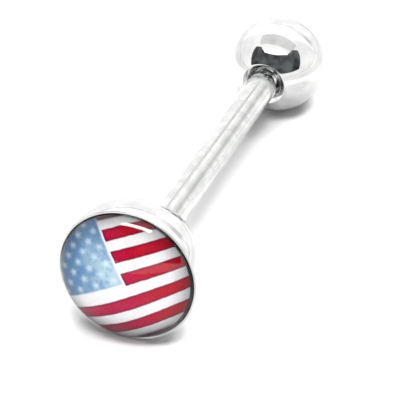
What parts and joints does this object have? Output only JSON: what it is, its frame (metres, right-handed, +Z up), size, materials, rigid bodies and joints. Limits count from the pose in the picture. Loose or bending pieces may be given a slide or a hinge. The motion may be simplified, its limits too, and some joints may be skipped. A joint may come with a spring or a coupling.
{
  "type": "tongue barbell",
  "caption": "Straight steel tongue barbell with a printed, resin-covered half ball fixed at one end and a ball that unscrews at the other.",
  "frame": {"origin": "middle of the bounding box, on the surface that the barbell lies on", "axes": "+X from the printed half ball to the screw-on ball, +Y sideways, +Z up; the bar's axis dips 3.38 degrees towards the ball"},
  "size_m": [0.0268, 0.0076, 0.0076],
  "materials": {
    "polished_steel": "mirror-polished surgical steel",
    "printed_card": "printed with stripes and stars",
    "clear_resin": "clear, gloss"
  },
  "bodies": {
    "barbell": {"bar": "polished_steel", "cup": "polished_steel", "print_disc": "printed_card", "resin_dome": "clear_resin"},
    "screw_ball": {"ball": "polished_steel"}
  },
  "joints": [
    {"name": "ball_unscrew", "type": "slide", "parent": "barbell", "child": "screw_ball", "axis": [0.9983, 0, -0.059], "range_m": [0, 0.02]}
  ]
}
